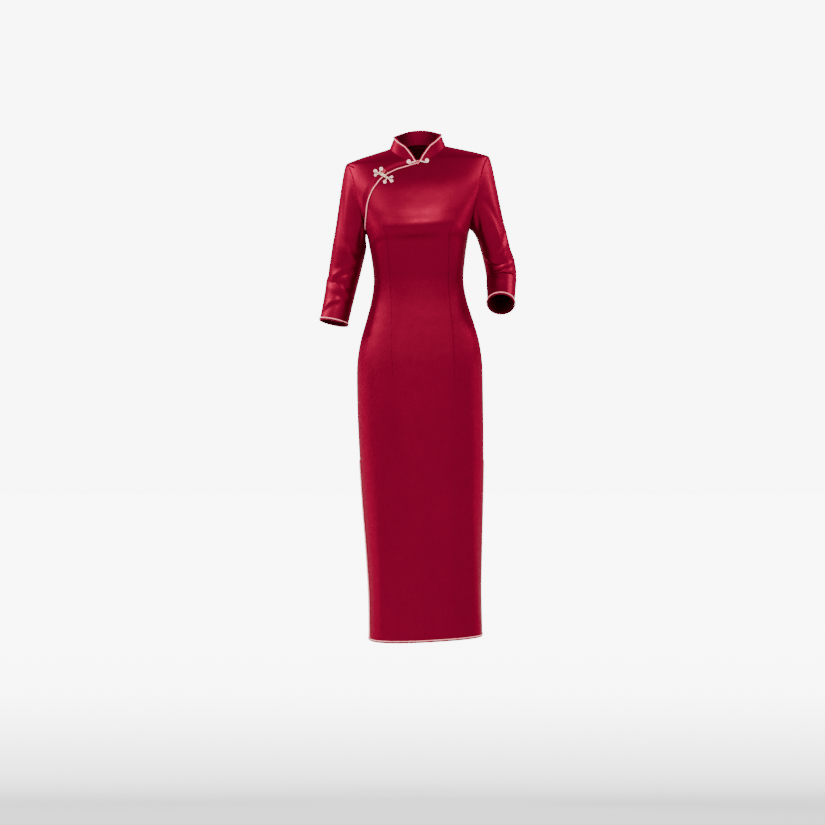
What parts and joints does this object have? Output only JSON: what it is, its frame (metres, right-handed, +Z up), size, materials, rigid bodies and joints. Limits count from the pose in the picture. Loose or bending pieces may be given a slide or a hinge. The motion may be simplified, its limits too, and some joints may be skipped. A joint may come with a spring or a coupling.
{
  "type": "cheongsam dress",
  "caption": "Worn cheongsam in wine satin with a stand collar, slanted side opening, frog fastenings, three-quarter sleeves and side slits.",
  "frame": {"origin": "middle of the neck at the height of the shoulder seams, where the wearer's shoulders hold the dress", "axes": "+Z up, -Y the way the front faces, +X towards the wearer's left"},
  "size_m": [0.4751, 0.2723, 1.2302],
  "materials": {
    "wine_satin": "deep wine satin with a soft sheen",
    "pink_piping": "pale pink corded piping",
    "pale_frog_cord": "pale pink satin cord",
    "champagne_cord": "champagne satin cord",
    "rose_knot": "rose satin cord"
  },
  "bodies": {
    "root": {"front": "wine_satin", "front_under": "wine_satin", "back": "wine_satin", "sleeve_left": "wine_satin", "cuff_left_binding": "wine_satin", "cuff_left_piping": "pink_piping", "sleeve_right": "wine_satin", "cuff_right_binding": "wine_satin", "cuff_right_piping": "pink_piping", "collar": "wine_satin", "collar_binding": "wine_satin", "collar_piping": "pink_piping", "opening_binding": "wine_satin", "opening_piping": "pink_piping", "front_hem_binding": "wine_satin", "front_hem_piping": "pink_piping", "back_hem_binding": "wine_satin", "back_hem_piping": "pink_piping", "frog_neck_scroll_right": "pale_frog_cord", "frog_neck_scroll_left": "pale_frog_cord", "frog_neck_knot": "rose_knot", "frog_neck_loop": "rose_knot", "frog_flower_petal_upper_1": "pale_frog_cord", "frog_flower_petal_upper_2": "pale_frog_cord", "frog_flower_petal_upper_3": "pale_frog_cord", "frog_flower_core_upper": "champagne_cord", "frog_flower_petal_lower_1": "pale_frog_cord", "frog_flower_petal_lower_2": "pale_frog_cord", "frog_flower_petal_lower_3": "pale_frog_cord", "frog_flower_core_lower": "champagne_cord", "frog_flower_bar_upper": "champagne_cord", "frog_flower_bar_lower": "champagne_cord", "frog_flower_bud": "champagne_cord", "frog_flower_loop": "rose_knot"}
  },
  "joints": []
}
